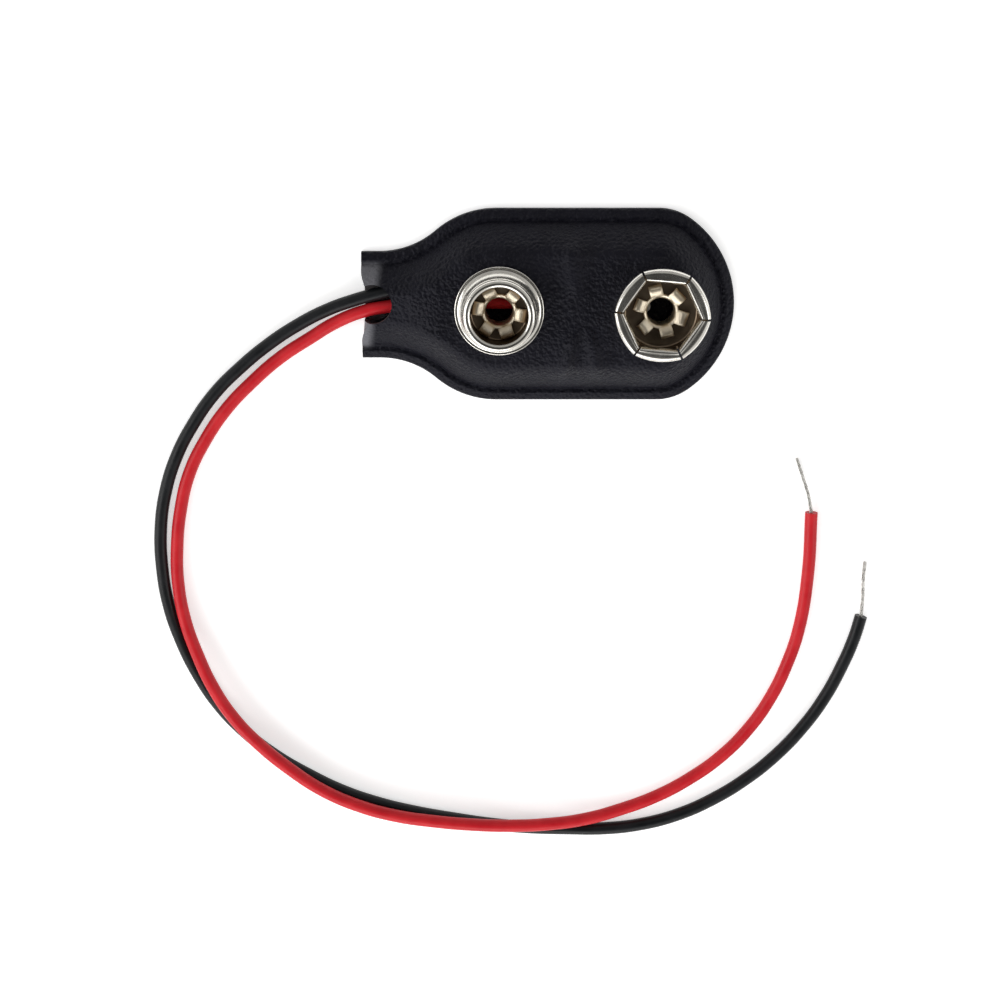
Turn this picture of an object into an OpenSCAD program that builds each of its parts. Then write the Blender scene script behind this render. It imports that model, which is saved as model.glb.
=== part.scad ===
// Battery snap: two snap contacts riveted to a board in a folded, welded vinyl jacket, with two loose leads.
// X runs from the folded neck to the round end, Z up from the flat back, origin under the jacket's middle.

/* [Jacket] */
// Length from the fold to the round end
jacket_l = 29.7; // [28:0.1:36]
// Width across the straight sides
jacket_w = 15.5; // [14:0.1:20]
// Width of the neck at the fold
neck_w = 8.6; // [7:0.1:11]
// Straight run of the neck, from the fold to the start of its throat
neck_run = 1.4; // [1:0.1:2]
// Radius of the concave throat beside the neck
throat_r = 6.9; // [5:0.1:8]
// Radius of the convex shoulder
shoulder_r = 7.4; // [6:0.1:8]
// Radius of the corners between the sides and the round end
corner_r = 4.4; // [3:0.1:6]
// How much flatter than a half circle the round end is, on its radius
end_ease = 0.75; // [0.3:0.05:2]
// How far the fold bows in at its middle
fold_bow = 0.25; // [0:0.05:0.5]
// Thickness of the vinyl sheet
sheet_t = 0.45; // [0.3:0.05:0.6]
// Width of the welded rim
weld_w = 0.75; // [0.5:0.05:1.2]
// Thickness of the welded rim, where both layers are pressed together
weld_t = 0.85; // [0.6:0.05:0.9]
// Width of the sloping band between the weld and the flat top
slope_w = 2; // [1.5:0.1:2.4]
// Diameter of the wire hole punched through the upper layer at the fold
fold_hole_d = 3.1; // [2.6:0.1:3.6]
// How far the wire hole reaches in from the fold
fold_hole_reach = 2.45; // [1.8:0.05:2.8]
// Offset of the wire hole from the middle of the neck
fold_hole_y = 0.3; // [0:0.05:0.5]

/* [Board] */
// Thickness of the fibre board
board_t = 0.8; // [0.5:0.1:1.2]
// Margin of the board past the stud's flange
board_margin = 0.6; // [0.3:0.1:1]
// Gap between the board's edge and the sloping part of the jacket
board_gap = 0.4; // [0.2:0.1:0.8]

/* [Contacts] */
// Distance between the two contacts
contact_pitch = 12.7; // [12:0.1:13.4]
// Distance from the round end to the socket's axis
socket_inset = 6.05; // [5.5:0.05:6.6]
// Thickness of the contacts' sheet metal
metal_t = 0.28; // [0.2:0.02:0.36]

/* [Stud] */
// Diameter of the flange that lies on the vinyl
stud_flange_d = 7.1; // [6.6:0.1:7.6]
// Diameter of the neck under the head
stud_neck_d = 5.24; // [5.2:0.02:5.5]
// Diameter of the head that the battery's socket grips
stud_head_d = 5.74; // [5.6:0.02:5.9]
// Height of the rim above the vinyl
stud_h = 2.55; // [2.3:0.05:3]
// Diameter of the open mouth
stud_mouth_d = 4.68; // [4.5:0.02:4.7]
// Length of the straight band of the head
stud_band = 0.55; // [0.4:0.05:0.7]
// Radius of the cove between flange and neck
stud_cove_r = 0.55; // [0.3:0.05:0.6]

/* [Socket] */
// Diameter across the crown
socket_d = 7.5; // [7.2:0.1:7.9]
// Width of the hexagonal mouth across its flats
socket_flats = 5.15; // [5:0.05:5.4]
// Height of the crown above the vinyl
socket_h = 2.5; // [2.3:0.05:3]
// Radius of the rolled top of a leaf
socket_roll_r = 0.6; // [0.5:0.02:0.65]
// Diameter of the crown's foot
socket_foot_d = 6.4; // [6:0.1:6.8]
// Width of the slits between the leaves
slit_w = 0.16; // [0.1:0.02:0.3]
// Height at which the slits begin, above the vinyl
slit_z = 0.7; // [0.5:0.05:1]
// Turn of the crown about its axis
socket_turn = -5; // [-30:1:30]

/* [Eyelets] */
// Bore of an eyelet
eyelet_bore_d = 2.15; // [1.9:0.05:2.3]
// Thickness of an eyelet's metal
eyelet_t = 0.2; // [0.14:0.02:0.24]
// Diameter of an eyelet's flange
eyelet_flange_d = 4.6; // [4.2:0.1:4.8]
// Width of a petal
petal_w = 1; // [0.8:0.05:1.1]
// Reach of the petals from the eyelet's axis
petal_reach = 2.2; // [2:0.05:2.24]
// Rise of a petal's rounded back above the contact's floor
petal_rise = 0.28; // [0.2:0.02:0.34]
// Turn of the stud's petals about their axis
stud_petal_turn = -7; // [-30:1:30]
// Turn of the socket's petals about their axis
socket_petal_turn = -15; // [-30:1:30]
// Clearance between an eyelet's barrel and the holes it passes through
barrel_gap = 0.03; // [0.02:0.01:0.06]

/* [Leads] */
// Diameter of a lead over its insulation
lead_d = 1.05; // [0.8:0.05:1.05]
// Diameter of the bare strands
strand_d = 0.3; // [0.2:0.02:0.4]
// Room above a lead inside the jacket
lead_room = 0.1; // [0.05:0.05:0.2]
// Diameter of a solder joint
solder_d = 1; // [0.8:0.05:1.1]
// Length of bare strands between a lead's insulation and its solder joint
bare_l = 1; // [0.8:0.05:1.2]

/* [Hidden] */
$fn = 64;

// Heights of the stack, from the back upward
eyelet_z = sheet_t + lead_d + lead_room;
board_z = eyelet_z + eyelet_t;
pocket_z = board_z + board_t;
vinyl_z = pocket_z + sheet_t;
floor_z = vinyl_z + metal_t;
fold_t = 2 * sheet_t + lead_d + 2 * lead_room;

// Places along X
fold_x = -jacket_l / 2;
end_x = jacket_l / 2;
socket_x = end_x - socket_inset;
stud_x = socket_x - contact_pitch;
fold_hole_x = fold_x + fold_hole_reach - fold_hole_d / 2;
board_left = stud_x - stud_flange_d / 2 - board_margin;

// Sweep of the shoulder and throat arcs, and of the arcs of the round end
arc_sum_r = shoulder_r + throat_r;
shoulder_turn = acos(1 - (jacket_w - neck_w) / 2 / arc_sum_r);
throat_x = fold_x + neck_run;
shoulder_x = throat_x + arc_sum_r * sin(shoulder_turn);
end_r = jacket_w / 2 + end_ease;
corner_y = jacket_w / 2 - corner_r;
corner_turn = asin(corner_y / (end_r - corner_r));
corner_x = end_x - end_r + (end_r - corner_r) * cos(corner_turn);
flat_in = weld_w + slope_w;

// Steps along each arc of the outline, points along the fold, rings up the slope, and small radii of the skin
end_steps = 9;
corner_steps = 5;
shoulder_steps = 7;
fold_steps = 10;
slope_steps = 5;
edge_r = 0.08;
heel_share = 0.4;

function mix(a, b, w) = a + (b - a) * w;
function ease(w) = let (s = min(1, max(0, w))) s * s * (3 - 2 * s);
function arc(x, y, r, a, b, n, first = 0) =
    [for (i = [first:n]) [x + r * cos(mix(a, b, i / n)), y + r * sin(mix(a, b, i / n))]];

// Half of the jacket's outline, set in by t, from the round end to the neck
function half_outline(t) = concat(
    [for (i = [0:end_steps - 1]) let (a = corner_turn * (i + 0.5) / end_steps)
        [end_x - end_r + (end_r - t) * cos(a), (end_r - t) * sin(a)]],
    arc(corner_x, corner_y, corner_r - t, corner_turn, 90, corner_steps),
    arc(shoulder_x, jacket_w / 2 - shoulder_r, shoulder_r - t, 90, 90 + shoulder_turn, shoulder_steps),
    arc(throat_x, neck_w / 2 + throat_r, throat_r + t, shoulder_turn - 90, -90, shoulder_steps, 1));

// Height of the jacket's top: the fold's thickness at the neck, rising to the flat over the board
function crown(x, low, high) = mix(low, high, ease((x - throat_x) / (board_left - board_gap - throat_x)));

// How far the nose of the fold lies in from the fold line at height z: well rounded above, a tight heel on the back
function nose_in(z, low, high, w) =
    let (top_r = (high - low) / 2, heel_r = heel_share * top_r, r = z > low + top_r ? top_r : heel_r,
         h = max(0, abs(z - low - top_r) - top_r + r) / r, d = r * (1 - sqrt(max(0, 1 - h * h))))
    z > low + top_r ? d : d * w;

// Rings of the jacket's outer skin as [inset, height, share of the rise], and of the pocket inside it
skin_rings = concat(
    [[edge_r, 0, 0], [0, edge_r, 0], [0, weld_t - edge_r, 0], [edge_r, weld_t, 0], [weld_w - edge_r, weld_t, 0],
     [weld_w + edge_r, weld_t - edge_r / 2, 0]],
    [for (i = [1:slope_steps]) [weld_w + mix(2 * edge_r, slope_w, i / slope_steps), weld_t, sin(90 * i / slope_steps)]]);
pocket_lip = 0.3;
pocket_rings = [for (i = [0:slope_steps])
    [weld_w + mix(pocket_lip, slope_w, i / slope_steps), sheet_t, sin(90 * i / slope_steps)]];

// One ring of the jacket: half outline, fold, mirrored half outline
function ring_points(ring, low, high_neck, high_top, k, count) = let (
        half = half_outline(ring[0]),
        side = [for (p = half) [p[0], p[1], mix(ring[1], crown(p[0], high_neck, high_top), ring[2])]],
        neck_y = neck_w / 2 - ring[0],
        rim_z = mix(ring[1], high_neck, ring[2]),
        nose_z = mix(low, high_neck, (1 - cos(180 * k / (count - 1))) / 2),
        fold = [for (i = [0:fold_steps]) let (
                f = 1 - 2 * i / fold_steps,
                w = ease((1 - abs(f)) / 0.3),
                z = mix(rim_z, nose_z, w))
            [fold_x + low + fold_bow * (1 - f * f) + nose_in(z, low, high_neck, w), f * neck_y, z]])
    concat(side, fold, [for (i = [len(side) - 1:-1:0]) [side[i][0], -side[i][1], side[i][2]]]);

// A closed skin through a stack of rings, with a flat bottom and a top that is level across its width
module ring_loft(rings, low, high_neck, high_top) {
    count = len(rings);
    stack = [for (k = [0:count - 1]) ring_points(rings[k], low, high_neck, high_top, k, count)];
    n = len(stack[0]);
    half = len(half_outline(0));
    top = (count - 1) * n;
    sides = [for (k = [0:count - 2]) for (i = [0:n - 1]) let (j = (i + 1) % n)
        each [[k * n + i, (k + 1) * n + j, k * n + j], [k * n + i, (k + 1) * n + i, (k + 1) * n + j]]];
    strips = [for (i = [0:half - 2])
        [top + i, top + n - 1 - i, top + n - 2 - i, top + i + 1]];
    fold_cap = [for (i = [n - half:-1:half - 1]) top + i];
    polyhedron([for (ring = stack) each ring], concat([[for (i = [0:n - 1]) i]], sides, strips, [fold_cap]));
}

module eyelet_hole(x) {
    translate([x, 0, sheet_t + lead_d])
        cylinder(r = eyelet_bore_d / 2 + eyelet_t + barrel_gap, h = vinyl_z + metal_t);
}

module vinyl_jacket() {
    color("#1b1b20") resize([jacket_l, jacket_w, vinyl_z]) difference() {
        ring_loft(skin_rings, 0, fold_t, vinyl_z);
        ring_loft(pocket_rings, sheet_t, fold_t - sheet_t, pocket_z);
        translate([fold_hole_x, fold_hole_y, sheet_t * 0.9]) cylinder(d = fold_hole_d, h = fold_t);
        eyelet_hole(stud_x);
        eyelet_hole(socket_x);
    }
}

module backing_board() {
    board_r = jacket_w / 2 - flat_in - board_gap;
    left = board_left + board_r;
    right = end_x - flat_in - board_gap - board_r;
    color("#6b4a2c") difference() {
        translate([0, 0, board_z]) linear_extrude(board_t) union() {
            translate([left, 0]) circle(board_r);
            translate([right, 0]) circle(board_r);
            translate([left, -board_r]) square([right - left, 2 * board_r]);
        }
        eyelet_hole(stud_x);
        eyelet_hole(socket_x);
    }
}

// Drawn shell of the stud: flange, cove, neck, gripping head and rolled rim round an open mouth
module stud_contact() {
    flange_r = stud_flange_d / 2;
    neck_r = stud_neck_d / 2;
    head_r = stud_head_d / 2;
    mouth_r = stud_mouth_d / 2;
    hole_r = eyelet_bore_d / 2 + eyelet_t + barrel_gap;
    inner_r = (mouth_r - petal_reach) * 0.9;
    rim_r = metal_t * 0.7;
    rim_z = stud_h - rim_r;
    band_top = rim_z - rim_r * 2;
    band_low = band_top - stud_band;
    color("#c9c6bd") translate([stud_x, 0, vinyl_z]) rotate_extrude() polygon(concat(
        [[hole_r, 0]],
        arc(flange_r - metal_t / 2, metal_t / 2, metal_t / 2, -90, 90, 6),
        arc(neck_r + stud_cove_r, metal_t + stud_cove_r, stud_cove_r, 270, 180, 6),
        [[head_r, band_low], [head_r, band_top]],
        arc(mouth_r + rim_r, rim_z, rim_r, 0, 180, 10),
        arc(mouth_r - inner_r, metal_t + inner_r, inner_r, 0, -90, 4),
        [[hole_r, metal_t]]));
}

// Spring crown of the socket: a cup whose wall is slit in six leaves, each rolled in to a straight edge
module socket_contact() {
    crown_r = socket_d / 2;
    foot_r = socket_foot_d / 2;
    roll_x = crown_r - socket_roll_r;
    roll_z = socket_h - socket_roll_r;
    inner_r = socket_roll_r - metal_t;
    curl_end = 215;
    hole_r = eyelet_bore_d / 2 + eyelet_t + barrel_gap;
    foot_round = metal_t * 2;
    color("#d2cfc6") translate([socket_x, 0, vinyl_z]) rotate(socket_turn) difference() {
        rotate_extrude() polygon(concat(
            [[hole_r, 0]],
            arc(foot_r - foot_round, foot_round, foot_round, -90, -25, 5),
            arc(roll_x, roll_z, socket_roll_r, -15, curl_end, 22),
            arc(roll_x, roll_z, inner_r, curl_end, -15, 18),
            arc(foot_r - foot_round, foot_round, foot_round - metal_t, -25, -90, 4),
            [[hole_r, metal_t]]));
        translate([0, 0, metal_t + petal_rise]) rotate(30) cylinder(r = socket_flats / sqrt(3), h = socket_h, $fn = 6);
        for (k = [0:5]) rotate(60 * k) translate([socket_flats / 2 - socket_roll_r, -slit_w / 2, slit_z])
            cube([socket_d / 2, slit_w, socket_h]);
    }
}

// Tubular rivet: flange below the board, barrel through the stack, end split and folded out as six petals
module eyelet(x, turn) {
    bore_r = eyelet_bore_d / 2;
    barrel_r = bore_r + eyelet_t;
    flange_r = eyelet_flange_d / 2;
    color("#b9a67c") translate([x, 0, 0]) rotate(turn) union() {
        rotate_extrude() polygon([[bore_r, eyelet_z], [flange_r, eyelet_z], [flange_r, board_z], [barrel_r, board_z],
                                  [barrel_r, floor_z], [bore_r, floor_z]]);
        translate([0, 0, floor_z]) intersection() {
            rotate_extrude() polygon(concat(
                [[bore_r, 0]],
                [for (i = [1:6]) [bore_r + petal_rise * 1.2 * (1 - cos(15 * i)), petal_rise * sin(15 * i)]],
                [[petal_reach - eyelet_t / 2, eyelet_t], [petal_reach, eyelet_t / 2], [petal_reach, 0]]));
            for (k = [0:2]) rotate(60 * k) translate([-petal_reach - 1, -petal_w / 2, -1])
                cube([2 * petal_reach + 2, petal_w, petal_rise + 2]);
        }
    }
}

module stud_eyelet() { eyelet(stud_x, stud_petal_turn); }

module socket_eyelet() { eyelet(socket_x, socket_petal_turn); }

// Routes of the leads, from the solder joint inside to the far end on the table, as [x, y, rise over the table]
joint_run = 2.6;
over = lead_d + 0.02;
black_route = [
    [stud_x - joint_run, 1.4, sheet_t], [-11.2, 1.5, sheet_t], [-13.3, 1.08, sheet_t + 0.05], [-15.4, 0.49, sheet_t],
    [-17.6, -0.34, 0.25], [-20, -1.6, 0.08], [-22.4, -3.2, 0], [-24.7, -5.1, 0], [-26.8, -7.2, 0], [-28.6, -9.7, 0],
    [-30.1, -12.5, 0], [-31.1, -15.5, 0], [-31.6, -18.7, 0], [-31.6, -21.9, 0], [-31.2, -25, 0], [-30.3, -28.1, 0],
    [-29, -31.1, 0], [-27.3, -33.9, 0], [-25.2, -36.3, 0], [-22.7, -38.4, 0], [-20, -40.1, 0], [-17.1, -41.6, 0],
    [-14.1, -42.7, 0], [-11, -43.5, 0], [-7.8, -44.1, 0], [-4.6, -44.6, 0], [-1.4, -44.9, 0], [1.8, -45, 0],
    [5, -45, 0], [8.2, -44.6, 0], [11.3, -43.7, 0], [14.2, -42.3, 0], [16.9, -40.5, 0], [19.3, -38.4, 0],
    [21.4, -36, 0], [23.2, -33.3, 0], [24.6, -30.4, 0], [25.5, -28, 0], [26, -26.1, 0]];
red_route = [
    [socket_x - joint_run, 0.1, sheet_t], [1, 0.25, sheet_t], [-4, 0.3, sheet_t], [-9, 0.25, sheet_t],
    [-12.7, -0.03, sheet_t + 0.03], [-14.6, -0.38, sheet_t + 0.05], [-16.8, -1.28, 0.3], [-19.1, -2.7, 0.1],
    [-21.5, -4.3, 0], [-23.8, -6.3, 0], [-25.9, -8.5, 0], [-27.7, -11.1, 0], [-29.1, -13.9, 0], [-29.9, -16.9, 0],
    [-30.3, -20.1, 0.05 * over], [-30.3, -23.2, 0.19 * over], [-29.8, -26.3, 0.43 * over],
    [-28.8, -29.3, 0.71 * over], [-27.6, -32, 0.93 * over], [-26, -34.6, over], [-23.9, -37, over],
    [-21.4, -39.2, over], [-18.7, -41.1, over], [-15.7, -42.5, over], [-12.6, -43.4, over], [-9.4, -43.9, over],
    [-6.2, -44.2, over], [-3, -44.3, over], [0.2, -44.2, 0.89 * over], [3.3, -43.9, 0.56 * over],
    [6.3, -43.2, 0.19 * over], [9.3, -42.1, 0], [12.1, -40.5, 0], [14.7, -38.5, 0], [16.9, -36.1, 0],
    [18.7, -33.3, 0], [20, -30.3, 0], [20.9, -27.2, 0], [21.5, -22.3, 0], [21.6, -17.2, 0]];

// Bare far ends, as [x, y, share of the way down from the lead's axis to the table]
black_tip = [[26, -26.1, 0], [26.1, -24.6, 0.3], [26.1, -23, 0.65], [26.2, -21.5, 1]];
red_tip = [[21.6, -17.2, 0], [21.3, -15.7, 0.3], [20.8, -14.2, 0.65], [20.3, -12.7, 1]];

function lead_path(route) = [for (p = route) [p[0], p[1], lead_d / 2 + p[2]]];
function tip_path(tip) = [for (p = tip) [p[0], p[1], mix(lead_d, strand_d, p[2]) / 2]];
lead_sides = 8;

function unit(v) = v / norm(v);
function heading(path, i, first) =
    i == 0 ? (is_undef(first) ? unit(path[1] - path[0]) : first)
    : i == len(path) - 1 ? unit(path[i] - path[i - 1])
    : unit(unit(path[i + 1] - path[i]) + unit(path[i] - path[i - 1]));
function end_heading(path) = heading(path, len(path) - 1);

// Round tube swept through the points of a route
module tube(path, d, first) {
    n = len(path);
    points = [for (i = [0:n - 1]) let (ahead = heading(path, i, first), side = unit(cross(ahead, [0, 0, 1])),
                                       above = cross(side, ahead))
        for (k = [0:lead_sides - 1]) let (a = 360 * (k + 0.5) / lead_sides)
            path[i] + d / 2 * (cos(a) * side + sin(a) * above)];
    walls = [for (i = [0:n - 2]) for (k = [0:lead_sides - 1]) let (m = (k + 1) % lead_sides)
        each [[i * lead_sides + k, i * lead_sides + m, (i + 1) * lead_sides + k],
              [i * lead_sides + m, (i + 1) * lead_sides + m, (i + 1) * lead_sides + k]]];
    ends = [[for (k = [lead_sides - 1:-1:0]) k], [for (k = [0:lead_sides - 1]) (n - 1) * lead_sides + k]];
    polyhedron(points, concat(walls, ends));
}

// Bare strands between a lead's insulation and its solder joint
module inner_strands(start) {
    translate(start) rotate([0, 90, 0]) cylinder(d = strand_d, h = bare_l);
}

// Solder joint hanging from an eyelet's flange, with a flat side where the strands enter
module solder(start) {
    joint_r = solder_d / 2;
    drop = eyelet_z - start[2] + strand_d;
    color("#a9aaa8") translate([start[0] + bare_l + joint_r * 0.8, start[1], eyelet_z]) difference() {
        rotate_extrude() polygon(concat(
            [[0, 0], [joint_r, 0]],
            [for (i = [1:8]) [joint_r * cos(90 * i / 8), -drop * sin(90 * i / 8)]]));
        translate([-joint_r * 1.8, -joint_r, -drop - 1]) cube([joint_r, solder_d, drop + 2]);
    }
}

module stud_solder() { solder(lead_path(black_route)[0]); }

module socket_solder() { solder(lead_path(red_route)[0]); }

module black_lead() { color("#1a1c1d") tube(lead_path(black_route), lead_d); }

module red_lead() { color("#d3222b") tube(lead_path(red_route), lead_d); }

module strands(route, tip) {
    color("#b5b5b2") union() {
        inner_strands(lead_path(route)[0]);
        tube(tip_path(tip), strand_d, end_heading(lead_path(route)));
    }
}

module black_strands() { strands(black_route, black_tip); }

module red_strands() { strands(red_route, red_tip); }

vinyl_jacket();
backing_board();
stud_contact();
socket_contact();
stud_eyelet();
socket_eyelet();
stud_solder();
socket_solder();
black_lead();
red_lead();
black_strands();
red_strands();
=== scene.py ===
from math import acos, asin, ceil, cos, degrees, exp, hypot, pi, radians, sin, sqrt
from random import Random

import bmesh
import bpy
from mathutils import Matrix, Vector


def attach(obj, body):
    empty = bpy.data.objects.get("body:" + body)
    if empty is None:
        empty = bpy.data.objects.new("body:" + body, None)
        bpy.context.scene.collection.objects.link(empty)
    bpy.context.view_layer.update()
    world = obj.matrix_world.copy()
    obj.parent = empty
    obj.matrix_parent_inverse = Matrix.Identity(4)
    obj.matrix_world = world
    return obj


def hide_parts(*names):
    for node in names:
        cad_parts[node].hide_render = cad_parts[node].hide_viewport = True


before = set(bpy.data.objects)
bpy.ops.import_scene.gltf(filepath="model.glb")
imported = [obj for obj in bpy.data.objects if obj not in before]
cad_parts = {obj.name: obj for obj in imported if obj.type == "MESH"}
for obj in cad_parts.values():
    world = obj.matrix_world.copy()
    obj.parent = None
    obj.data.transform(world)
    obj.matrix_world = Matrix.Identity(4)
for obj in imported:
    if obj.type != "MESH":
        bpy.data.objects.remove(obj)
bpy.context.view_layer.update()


# Camera: stands above the contact face, a little past the upper long side, and looks down on the part.
# A long lens on a 36 mm sensor, with the frame moved down so that the leads' loop stays in it.
MM = 0.001
IMAGE_PX = 1000
FOCAL_PX = 2200
AXIS_ROW_PX = 440
CAMERA_PLACE = (-3.836 * MM, 32.016 * MM, 173.45 * MM)
CAMERA_TILT = radians(-14)

camera_data = bpy.data.cameras.new("camera")
camera_data.sensor_width = 36
camera_data.lens = camera_data.sensor_width * FOCAL_PX / IMAGE_PX
camera_data.shift_y = AXIS_ROW_PX / IMAGE_PX - 0.5
camera_data.clip_start, camera_data.clip_end = 0.01, 10
camera = bpy.data.objects.new("camera", camera_data)
camera.location = CAMERA_PLACE
camera.rotation_euler = (CAMERA_TILT, 0, 0)
bpy.context.scene.collection.objects.link(camera)
bpy.context.scene.camera = camera


# Leads: two stranded wires in soft, satin plastic insulation, one black and one red.
# They run from the solder joints through the hole in the fold, then lie in a loop on the table, the red one partly on
# the black one. Both ends of the insulation are cut square.
LEAD_D = 1.05
SHEET_T = 0.45
OVER = LEAD_D + 0.02
# Routes from the solder joint to the far end, as (x, y, rise over the table).
BLACK_ROUTE = [
    (-6.5, 1.4, SHEET_T), (-11.2, 1.5, SHEET_T), (-13.3, 1.08, SHEET_T + 0.05), (-15.4, 0.49, SHEET_T),
    (-17.6, -0.34, 0.25), (-20, -1.6, 0.08), (-22.4, -3.2, 0), (-24.7, -5.1, 0), (-26.8, -7.2, 0), (-28.6, -9.7, 0),
    (-30.1, -12.5, 0), (-31.1, -15.5, 0), (-31.6, -18.7, 0), (-31.6, -21.9, 0), (-31.2, -25, 0), (-30.3, -28.1, 0),
    (-29, -31.1, 0), (-27.3, -33.9, 0), (-25.2, -36.3, 0), (-22.7, -38.4, 0), (-20, -40.1, 0), (-17.1, -41.6, 0),
    (-14.1, -42.7, 0), (-11, -43.5, 0), (-7.8, -44.1, 0), (-4.6, -44.6, 0), (-1.4, -44.9, 0), (1.8, -45, 0),
    (5, -45, 0), (8.2, -44.6, 0), (11.3, -43.7, 0), (14.2, -42.3, 0), (16.9, -40.5, 0), (19.3, -38.4, 0),
    (21.4, -36, 0), (23.2, -33.3, 0), (24.6, -30.4, 0), (25.5, -28, 0), (26, -26.1, 0)]
RED_ROUTE = [
    (6.2, 0.1, SHEET_T), (1, 0.25, SHEET_T), (-4, 0.3, SHEET_T), (-9, 0.25, SHEET_T), (-12.7, -0.03, SHEET_T + 0.03),
    (-14.6, -0.38, SHEET_T + 0.05), (-16.8, -1.28, 0.3), (-19.1, -2.7, 0.1), (-21.5, -4.3, 0), (-23.8, -6.3, 0),
    (-25.9, -8.5, 0), (-27.7, -11.1, 0), (-29.1, -13.9, 0), (-29.9, -16.9, 0), (-30.3, -20.1, 0.05 * OVER),
    (-30.3, -23.2, 0.19 * OVER), (-29.8, -26.3, 0.43 * OVER), (-28.8, -29.3, 0.71 * OVER), (-27.6, -32, 0.93 * OVER),
    (-26, -34.6, OVER), (-23.9, -37, OVER), (-21.4, -39.2, OVER), (-18.7, -41.1, OVER), (-15.7, -42.5, OVER),
    (-12.6, -43.4, OVER), (-9.4, -43.9, OVER), (-6.2, -44.2, OVER), (-3, -44.3, OVER), (0.2, -44.2, 0.89 * OVER),
    (3.3, -43.9, 0.56 * OVER), (6.3, -43.2, 0.19 * OVER), (9.3, -42.1, 0), (12.1, -40.5, 0), (14.7, -38.5, 0),
    (16.9, -36.1, 0), (18.7, -33.3, 0), (20, -30.3, 0), (20.9, -27.2, 0), (21.5, -22.3, 0), (21.6, -17.2, 0)]

# Effect "mottle": the uneven tone and the faint waviness of a drawn, moulded or handled surface.
mottle = bpy.data.node_groups.new("mottle", "ShaderNodeTree")
mottle.interface.new_socket("Cell Size", in_out="INPUT", socket_type="NodeSocketFloat").default_value = 0.5
mottle.interface.new_socket("Tone", in_out="OUTPUT", socket_type="NodeSocketFloat")
mottle.interface.new_socket("Height", in_out="OUTPUT", socket_type="NodeSocketFloat")
mottle_in = mottle.nodes.new("NodeGroupInput")
mottle_out = mottle.nodes.new("NodeGroupOutput")
mottle_place = mottle.nodes.new("ShaderNodeTexCoord")
mottle_scale = mottle.nodes.new("ShaderNodeMath")
mottle_scale.operation = "DIVIDE"
mottle_scale.inputs[0].default_value = 1 / MM
mottle.links.new(mottle_in.outputs["Cell Size"], mottle_scale.inputs[1])
mottle_broad = mottle.nodes.new("ShaderNodeTexNoise")
mottle_broad.inputs["Detail"].default_value = 3
mottle_fine = mottle.nodes.new("ShaderNodeTexNoise")
mottle_fine.inputs["Detail"].default_value = 5
mottle_finer = mottle.nodes.new("ShaderNodeMath")
mottle_finer.operation = "MULTIPLY"
mottle_finer.inputs[1].default_value = 6
mottle.links.new(mottle_scale.outputs[0], mottle_finer.inputs[0])
for noise, scale in ((mottle_broad, mottle_scale), (mottle_fine, mottle_finer)):
    mottle.links.new(mottle_place.outputs["Object"], noise.inputs["Vector"])
    mottle.links.new(scale.outputs[0], noise.inputs["Scale"])
mottle_tone = mottle.nodes.new("ShaderNodeMapRange")
mottle_tone.inputs["From Min"].default_value, mottle_tone.inputs["From Max"].default_value = 0.3, 0.7
mottle.links.new(mottle_broad.outputs["Fac"], mottle_tone.inputs["Value"])
mottle.links.new(mottle_tone.outputs["Result"], mottle_out.inputs["Tone"])
mottle.links.new(mottle_fine.outputs["Fac"], mottle_out.inputs["Height"])


def effect(material, group, **values):
    """Places a shared effect in a material with its own values."""
    node = material.node_tree.nodes.new("ShaderNodeGroup")
    node.node_tree = group
    for label, value in values.items():
        node.inputs[label.replace("_", " ")].default_value = value
    return node


def tinted(material, mask, dark, light):
    """Feeds the base colour from dark to light with a mask; dark may be an earlier tint."""
    tree = material.node_tree
    mix = tree.nodes.new("ShaderNodeMix")
    mix.data_type = "RGBA"
    if isinstance(dark, tuple):
        mix.inputs["A"].default_value = (*dark, 1)
    else:
        tree.links.new(dark, mix.inputs["A"])
    mix.inputs["B"].default_value = (*light, 1)
    tree.links.new(mask, mix.inputs["Factor"])
    tree.links.new(mix.outputs["Result"], tree.nodes["Principled BSDF"].inputs["Base Color"])
    return mix.outputs["Result"]


def polished(material, mask, low, high):
    """Feeds the roughness from low to high with a mask."""
    tree = material.node_tree
    spread = tree.nodes.new("ShaderNodeMapRange")
    spread.inputs["To Min"].default_value, spread.inputs["To Max"].default_value = low, high
    tree.links.new(mask, spread.inputs["Value"])
    tree.links.new(spread.outputs["Result"], tree.nodes["Principled BSDF"].inputs["Roughness"])


def embossed(material, height, depth, strength=1.0):
    """Raises the surface by a height mask, depth in millimetres."""
    tree = material.node_tree
    bump = tree.nodes.new("ShaderNodeBump")
    bump.inputs["Strength"].default_value = strength
    bump.inputs["Distance"].default_value = depth * MM
    tree.links.new(height, bump.inputs["Height"])
    tree.links.new(bump.outputs["Normal"], tree.nodes["Principled BSDF"].inputs["Normal"])


def surface(name, metallic=0.0, sheen=0.5):
    """A new material with a Principled shader; sheen is its mirror share."""
    material = bpy.data.materials.new(name)
    material.use_nodes = True
    material.node_tree.nodes["Principled BSDF"].inputs["Metallic"].default_value = metallic
    material.node_tree.nodes["Principled BSDF"].inputs["Specular IOR Level"].default_value = sheen
    return material


def insulation(name, dark, light):
    """Satin cable insulation, a little uneven from the extruder."""
    skin = surface(name, sheen=0.25)
    uneven = effect(skin, mottle, Cell_Size=1.6)
    tinted(skin, uneven.outputs["Tone"], dark, light)
    polished(skin, uneven.outputs["Tone"], 0.34, 0.46)
    embossed(skin, uneven.outputs["Height"], 0.008)
    return skin


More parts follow.
